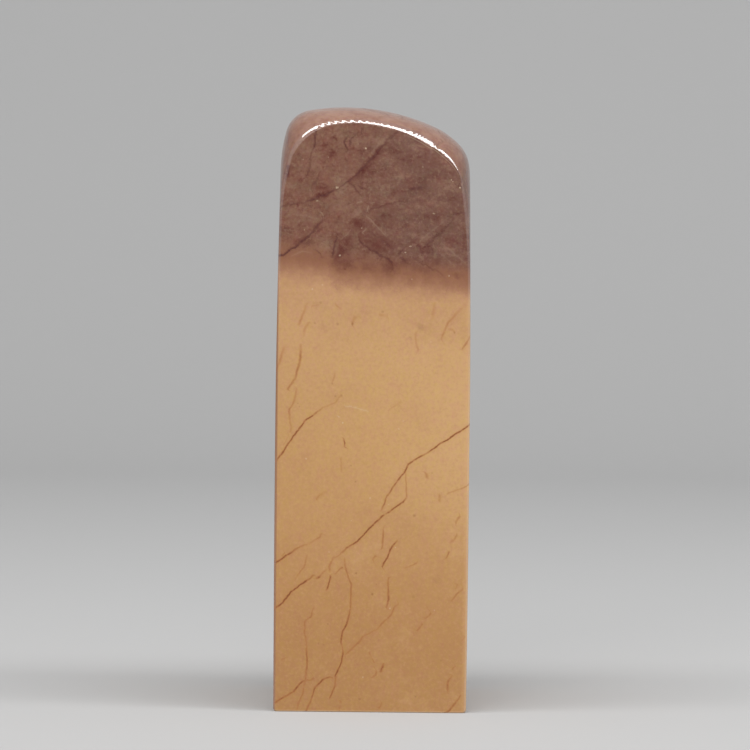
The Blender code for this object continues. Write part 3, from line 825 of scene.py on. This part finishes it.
def clouds_group(name, clouds):
    """The strongest of a list of soft, leaning ovals at each place, fading out behind the front."""
    tree, nodes, given, result = new_group(name, (("Place", "Vector"), ("Depth", "Float")), ("Cloud",))
    back = nodes.math("DIVIDE", given["Depth"], CLOUD_DEPTH)
    back = nodes.times(back, back)
    strongest = 0.0
    for (x, z), (long, short), lean, strength in clouds:
        far = back
        cosine, sine = math.cos(math.radians(lean)), math.sin(math.radians(lean))
        for (to_right, up), size in (((cosine, -sine), long), ((sine, cosine), short)):
            offset = nodes.vector("DOT_PRODUCT", given["Place"], (to_right / size, 0.0, up / size))
            offset = nodes.math("SUBTRACT", offset, (x * to_right + z * up) / size)
            far = nodes.math("MULTIPLY_ADD", offset, offset, far)
        near = nodes.math("MULTIPLY_ADD", far, -0.64, 1.0, clamp=True)
        strongest = nodes.most(strongest, nodes.times(near, near, strength))
    nodes.feed(result["Cloud"], strongest)
    return tree


def specks_group(name, specks):
    """The strongest of a list of tiny round grains, which lie just under the front face."""
    tree, nodes, given, result = new_group(name, (("Place", "Vector"),), ("Speck",))
    strongest = 0.0
    for x, z, radius, strength in specks:
        away = nodes.vector("DISTANCE", given["Place"], (x, -DEPTH / 2 / MM, z))
        near = nodes.math("MULTIPLY_ADD", away, -1.1 / radius, 1.33, clamp=True)
        strongest = nodes.most(strongest, nodes.times(near, strength))
    nodes.feed(result["Speck"], strongest)
    return tree


def seam_group():
    """How far a place has passed from the yellow (0) to the mauve (1), by where the yellow ends and
    where the mauve begins there."""
    tree, nodes, given, result = new_group("seam", (("Across", "Float"), ("Height", "Float")), ("Passed",))
    share = nodes.math("DIVIDE", nodes.math("ADD", given["Across"], WIDTH / 2 / MM), WIDTH / MM, clamp=True)
    seam_room = SEAM_HIGHEST - SEAM_LOWEST
    lines = []
    for points in (SEAM_BELOW, SEAM_ABOVE):
        shares = [((x * MM + WIDTH / 2) / WIDTH, (z - SEAM_LOWEST) / seam_room) for x, z in points]
        line = nodes.curve(share, shares, smooth=True)
        lines.append(nodes.math("MULTIPLY_ADD", line, seam_room, SEAM_LOWEST))
    span = nodes.math("SUBTRACT", lines[1], lines[0])
    passed = nodes.math("DIVIDE", nodes.math("SUBTRACT", given["Height"], lines[0]), span, clamp=True)
    nodes.feed(result["Passed"], passed)
    return tree


class Rock:
    """What the stone's whole pattern is drawn from, in millimetres: each place, how far it lies behind
    the front face, and the place moved as the rock's own layers are. They wander more the further
    back they lie, and tremble, shake or wobble a little everywhere.
    """

    def __init__(self, nodes):
        self.place = nodes.vector("SCALE", nodes.add("TexCoord").outputs["Object"], scale=1 / MM)
        self.x, self.y, self.z = nodes.add("SeparateXYZ", Vector=self.place).outputs
        self.depth = nodes.math("ADD", self.y, DEPTH / 2 / MM)
        sway = nodes.vector("SUBTRACT", nodes.noise(self.place, 9.0, output="Color"), (0.5, 0.5, 0.5))
        sway = nodes.vector("SCALE", sway, scale=nodes.times(self.depth, 0.35))
        self.swayed = nodes.vector("ADD", self.place, sway)
        shiver = nodes.noise(self.place, 0.9, 4.0, 0.7, output="Color")
        shiver = nodes.vector("SUBTRACT", shiver, (0.5, 0.5, 0.5))
        self.trembled, self.shaken, self.wobbled = [
            nodes.vector("ADD", self.swayed, nodes.vector("SCALE", shiver, scale=reach))
            for reach in (0.35, 1.0, 1.3)]
        self.granules = nodes.noise(self.place, 0.42, 3.0, 0.7)


def body_tones(nodes, rock):
    """The yellow body: tones by height, faint cloud, painted side light and shade, streaks and fine grain."""
    tone_height = nodes.times(rock.z, MM / HEIGHT)
    body = nodes.tones(tone_height, [(height / HEIGHT, colour(*tone)) for height, tone in BODY_TONES])
    cloud = nodes.noise(rock.swayed, 5.0, 6.0, 0.72)
    body = nodes.either(body, cloud, 0.5, 0.8, BODY_PALE, BODY_DARK, (0.35, 0.35))
    # painted side light: paler towards the right side, and painted shade, darker towards the left
    side_light_share = nodes.times(nodes.curve(tone_height, PAINTED_SIDE_LIGHT, smooth=True), rock.x)
    body = nodes.lay(body, BODY_PALE, side_light_share, 0.036)
    body = nodes.lay(body, BODY_DARK, side_light_share, -0.016)
    streaks = nodes.noise(nodes.vector("MULTIPLY", rock.shaken, (1.0, 1.0, 0.45)), 1.1, 4.0, 0.75)
    body = nodes.either(body, streaks, 0.514, 0.657, PINKENED, YELLOWED, blend="MULTIPLY", even=True)
    return nodes.either(body, rock.granules, 0.5, 1.61, BODY_PALE, BODY_DARK, even=True)


def paint_edge_light(nodes, rock, body):
    """Paints shade as a darker strip along the left edges of the body, and paints highlights as paler strips
    along the right edges and the base.
    """
    face, side = DEPTH / 2 / MM, WIDTH / 2 / MM
    by_face = nodes.rise(nodes.math("ABSOLUTE", rock.y), face - 0.36, face - 0.16)
    # painted shade on the left edge, painted highlights on the right edge and along the base
    left = nodes.times(nodes.rise(rock.x, 0.38 - side, 0.18 - side), by_face, 0.8)
    right = nodes.times(nodes.rise(rock.x, side - 0.79, side - 0.07), by_face, 0.5)
    base_painted_highlight = nodes.times(nodes.rise(rock.z, 0.267, 0.1), 0.9)
    return nodes.lay(nodes.lay(body, BODY_VEIN, left), BODY_PALE, nodes.most(right, base_painted_highlight))


def head_tones(nodes, rock):
    """The mauve head: cooler to the right, mottled, with paler clouds, grains, and a lighter rim that is
    painted top light and sheen.
    """
    pale_clouds = clouds_group("pale clouds", PALE_CLOUDS)
    head = nodes.lay(HEAD_LEFT, HEAD_RIGHT, nodes.ramp(rock.x, -6.0, 6.0))
    head = nodes.lay(head, HEAD_PALE, nodes.group(pale_clouds, Place=rock.shaken, Depth=rock.depth)["Cloud"])
    mottle = nodes.noise(nodes.vector("MULTIPLY", rock.shaken, (0.75, 1.0, 1.3)), 2.2, 5.0, 0.72)
    head = nodes.either(head, mottle, 0.5, 0.75, HEAD_PALE, HEAD_DARK, (0.85, 0.85))
    head = nodes.either(head, rock.granules, 0.5, 0.75, HEAD_PALE, HEAD_DARK, (0.55, 0.4))
    tint = nodes.noise(rock.shaken, 1.8, 4.0, 0.7)
    head = nodes.either(head, tint, 0.5, 0.68, REDDENED, GREENED, blend="MULTIPLY")
    head = nodes.lay(head, HEAD_VEIN, nodes.grains(rock.shaken, 0.9, 0.22, 0.5), 0.2)
    head = nodes.lay(head, PALE_SPECK, nodes.grains(rock.shaken, 1.5, 0.14, 0.4), 0.35)
    blotches = nodes.noise(rock.shaken, 1.7, 5.0, 0.75)
    # the rim is painted top light and sheen, with mauve mottles in it
    rim_light_tone = nodes.lay(RIM_PAINTED_LIGHT, RIM_MAUVE, nodes.rise(blotches, 0.46, 0.66))
    return nodes.lay(head, rim_light_tone, nodes.attribute("painted_rim_light"), 0.8)


def join_at_seam(nodes, rock, body, head):
    """Passes from the body over the ragged, rust-brown seam to the head, with a fine speckle on all of
    it. Gives the stone's tone, how far past the yellow a place is, and how much of it is head."""
    ragged = nodes.math("SUBTRACT", nodes.noise(rock.shaken, 1.8, 5.0, 0.75), 0.5)
    height = nodes.math("ADD", rock.z, nodes.times(rock.depth, 0.10))
    height = nodes.math("ADD", height, nodes.times(ragged, 3.4))
    above = nodes.group(seam_group(), Across=rock.x, Height=height)["Passed"]
    on_head = nodes.ramp(above, 0.5, 1.0)
    stone = nodes.lay(body, SEAM_SAND, nodes.ramp(above, 0.0, 0.35))
    stone = nodes.lay(stone, SEAM_RUST, nodes.ramp(above, 0.15, 0.6))
    stone = nodes.lay(stone, head, on_head)
    speckle = nodes.noise(rock.shaken, 0.5, 3.0, 0.75)
    stone = nodes.either(stone, speckle, 0.5, 0.611, PINKENED, YELLOWED, blend="MULTIPLY", even=True)
    return stone, above, on_head


def unseen_veins(nodes, rock):
    """Where the made-up veins run, which lie well behind the front face: in layers that wander."""
    layers = nodes.math("DIVIDE", nodes.vector("DOT_PRODUCT", rock.trembled, (-0.5, -0.4, 0.77)), 8.0)
    layers = nodes.math("MULTIPLY_ADD", nodes.noise(rock.swayed, 11.0), 2.2, layers)
    line = nodes.rise(nodes.math("PINGPONG", layers, 0.5), 0.0244, 0.0022)
    here = nodes.ramp(nodes.noise(rock.swayed, 14.0), 0.48, 0.60)
    return nodes.times(line, nodes.ramp(rock.depth, 1.0, 6.0), here, 0.6)


def lay_body_veins(nodes, rock, vein_line, stone, on_head, breaks):
    """Brown veins with a faint stain beside them, dark red where they run on into the head."""
    drawn = veins_group("body veins", BODY_VEINS, vein_line)
    line, halo = nodes.group(drawn, Place=rock.trembled, Depth=rock.depth)
    line = nodes.most(line, unseen_veins(nodes, rock))
    line = nodes.times(line, nodes.math("MULTIPLY_ADD", breaks, 0.6, 0.4))
    stone = nodes.lay(stone, nodes.lay(BODY_STAIN, HEAD_DARK, on_head), halo, 0.22)
    tone = nodes.lay(nodes.lay(BODY_STAIN, BODY_VEIN, line), HEAD_VEIN, on_head)
    return nodes.lay(stone, tone, line, 1.25), line


def lay_head_veins(nodes, rock, vein_line, stone, on_head, breaks, patchy):
    """Dark red veins with patchy stains beside them, and a net of hair cracks all over the head."""
    drawn = veins_group("head veins", HEAD_VEINS, vein_line)
    line, halo = nodes.group(drawn, Place=rock.shaken, Depth=rock.depth)
    from_middle = nodes.math("SUBTRACT", nodes.noise(rock.trembled, 1.7, 3.0), 0.5)
    cracks = nodes.ramp(nodes.math("ABSOLUTE", from_middle), 0.012, 0.0)
    here = nodes.ramp(nodes.noise(rock.swayed, 3.0), 0.42, 0.58)
    line = nodes.times(nodes.most(line, nodes.times(cracks, here, on_head, 0.75)), breaks)
    stone = nodes.lay(stone, HEAD_VEIN, nodes.times(halo, patchy), 0.45)
    return nodes.lay(stone, HEAD_VEIN, line, 0.92), line


def lay_specks(nodes, rock, vein_line, stone, above):
    """Dark specks, pale specks and hairlines, and a painted highlight along the scratch beside the crease."""
    dark = nodes.group(specks_group("dark specks", DARK_SPECKS), Place=rock.trembled)["Speck"]
    stone = nodes.lay(stone, nodes.lay(BODY_VEIN, HEAD_VEIN, above), dark, 0.7)
    drawn = veins_group("pale veins", HEAD_PALE_VEINS + BODY_PALE_VEINS, vein_line)
    line, halo = nodes.group(drawn, Place=rock.trembled, Depth=rock.depth)
    pale = nodes.group(specks_group("pale specks", PALE_SPECKS), Place=rock.trembled)["Speck"]
    hairlines = nodes.most(nodes.times(line, 0.2), nodes.times(halo, 0.1))
    stone = nodes.lay(stone, PALE_SPECK, nodes.most(hairlines, nodes.times(pale, 0.8)))
    # a painted highlight: a pale line laid along the scratch beside the crease
    scratch = nodes.attribute("scratch")
    return nodes.lay(stone, PALE_SPECK, nodes.times(scratch, scratch), 0.6)


def polish(nodes, rock, shader, veins):
    """A hand polish: veins take it less well, the face undulates a little, and edges are glossiest."""
    gloss = nodes.math("MULTIPLY_ADD", nodes.noise(rock.place, 0.5, 4.0, 0.7), 0.10, 0.13)
    nodes.feed(shader.inputs["Roughness"], nodes.math("MULTIPLY_ADD", veins, 0.22, gloss))
    dents = nodes.times(nodes.noise(rock.place, 2.5), 0.012)
    dents = nodes.math("MULTIPLY_ADD", nodes.noise(rock.place, 0.4), 0.0012, dents)
    bump = nodes.add("Bump", Height=dents, Distance=MM, Strength=1.0)
    nodes.feed(shader.inputs["Normal"], bump.outputs["Normal"])
    nodes.feed(shader.inputs["Coat Weight"], nodes.attribute("eased_edge"))
    for name, value in (("IOR", 1.4), ("Coat IOR", 2.0), ("Coat Roughness", 0.05)):
        shader.inputs[name].default_value = value


def stone_material():
    """Polished stone: a yellow body with brown veins, a cloudy brown seam, and a mauve head with dark
    red veins."""
    material = bpy.data.materials.new("polished_stone")
    material.use_nodes = True
    nodes = Nodes(material.node_tree)
    shader = material.node_tree.nodes["Principled BSDF"]
    rock = Rock(nodes)
    body = paint_edge_light(nodes, rock, body_tones(nodes, rock))
    stone, above, on_head = join_at_seam(nodes, rock, body, head_tones(nodes, rock))

    patchy = nodes.ramp(nodes.noise(rock.trembled, 0.8, 4.0, 0.75), 0.35, 0.6, 0.35, 1.0)
    dark_clouds = clouds_group("dark clouds", DARK_CLOUDS)
    stain = nodes.group(dark_clouds, Place=rock.wobbled, Depth=rock.depth)["Cloud"]
    stone = nodes.lay(stone, HEAD_DARK, nodes.times(stain, patchy))

    vein_line = vein_line_group()
    breaks = nodes.ramp(nodes.noise(rock.trembled, 0.6, 3.0, 0.65), 0.32, 0.58, 0.35, 1.0)
    stone, body_line = lay_body_veins(nodes, rock, vein_line, stone, on_head, breaks)
    stone, head_line = lay_head_veins(nodes, rock, vein_line, stone, on_head, breaks, patchy)
    stone = lay_specks(nodes, rock, vein_line, stone, above)
    nodes.feed(shader.inputs["Base Color"], stone)
    polish(nodes, rock, shader, nodes.most(body_line, head_line))
    return material


def make_floor():
    """A seamless pale sweep: flat floor, a quarter-round curve and an upright backdrop behind it."""
    bend = np.radians(np.linspace(0.0, 90.0, 25))
    run = np.concatenate([[-FLOOR_REACH], FLOOR_BEND_START + FLOOR_BEND_RADIUS * np.sin(bend),
                          [FLOOR_BEND_START + FLOOR_BEND_RADIUS]])
    rise = np.concatenate([[0.0], FLOOR_BEND_RADIUS * (1 - np.cos(bend)), [BACKDROP_HEIGHT]])
    sides = np.array([-FLOOR_REACH, FLOOR_REACH])
    places = np.stack([np.broadcast_to(sides[:, None], (2, len(run))),
                       np.broadcast_to(run, (2, len(run))), np.broadcast_to(rise, (2, len(run)))], axis=-1)
    here = np.arange(len(run) - 1)
    faces = np.column_stack([here, here + len(run), here + len(run) + 1, here + 1])
    mesh = bpy.data.meshes.new("studio_floor")
    mesh.from_pydata(places.reshape(-1, 3).tolist(), [], faces.tolist())
    mesh.shade_smooth()
    floor = bpy.data.objects.new("studio_floor", mesh)
    bpy.context.scene.collection.objects.link(floor)
    material = bpy.data.materials.new("pale_paper")
    material.use_nodes = True
    shader = material.node_tree.nodes["Principled BSDF"]
    shader.inputs["Base Color"].default_value = FLOOR_TONE
    shader.inputs["Roughness"].default_value = 0.9
    shader.inputs["Specular IOR Level"].default_value = 0.2
    mesh.materials.append(material)


def aim(thing, place, target):
    """Puts a lamp at a place and turns its face to a target."""
    direction = Vector(target) - Vector(place)
    thing.location = place
    thing.rotation_euler = direction.to_track_quat("-Z", "Y").to_euler()


def make_lamp(name, place, target, size, level):
    """A soft panel lamp. Its level is the brightness of the panel itself, where white paper is 1."""
    data = bpy.data.lights.new(name, "AREA")
    data.shape = "RECTANGLE"
    data.size, data.size_y = size
    data.energy = level * math.pi * size[0] * size[1]
    lamp = bpy.data.objects.new(name, data)
    bpy.context.scene.collection.objects.link(lamp)
    aim(lamp, place, target)


def make_light():
    make_lamp("overhead strip", (0.18, -0.13, 0.56), (0.18, -0.0125, 0.0755), (1.37, 0.15), STRIP_LEVEL)
    make_lamp("front softbox", (-0.25, -1.1, 0.65), (0.0, 0.0, 0.045), (0.8, 0.8), KEY_LEVEL)
    world = bpy.data.worlds.new("pale studio")
    world.use_nodes = True
    background = world.node_tree.nodes["Background"]
    background.inputs["Color"].default_value = (1.0, 1.0, 1.0, 1.0)
    background.inputs["Strength"].default_value = WORLD_LEVEL
    bpy.context.scene.world = world


def make_camera():
    """The photograph's view: a little above the stone, looking slightly down, and rolled by a hair."""
    data = bpy.data.cameras.new("photo camera")
    data.sensor_width = 36.0
    data.lens = 36.0 * CAMERA_DISTANCE / FRAME_WIDTH
    data.shift_x = FRAME_SHIFT
    camera = bpy.data.objects.new("photo camera", data)
    bpy.context.scene.collection.objects.link(camera)
    back = Vector((0.0, -math.cos(CAMERA_PITCH), math.sin(CAMERA_PITCH)))
    level_up = Vector((0.0, math.sin(CAMERA_PITCH), math.cos(CAMERA_PITCH)))
    level_right = Vector((1.0, 0.0, 0.0))
    right = level_right * math.cos(CAMERA_ROLL) + level_up * math.sin(CAMERA_ROLL)
    up = level_up * math.cos(CAMERA_ROLL) - level_right * math.sin(CAMERA_ROLL)
    turn = Matrix((right, up, back)).transposed().to_4x4()
    target = Vector((0.0, -DEPTH / 2, CAMERA_AIM_HEIGHT))
    camera.matrix_world = Matrix.Translation(target + back * CAMERA_DISTANCE) @ turn
    bpy.context.scene.camera = camera


make_camera()
stone = make_stone()
stone.data.materials.append(stone_material())
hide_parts(STONE)
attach(stone, "root")
make_floor()
make_light()

bpy.context.scene.view_settings.view_transform = "Standard"
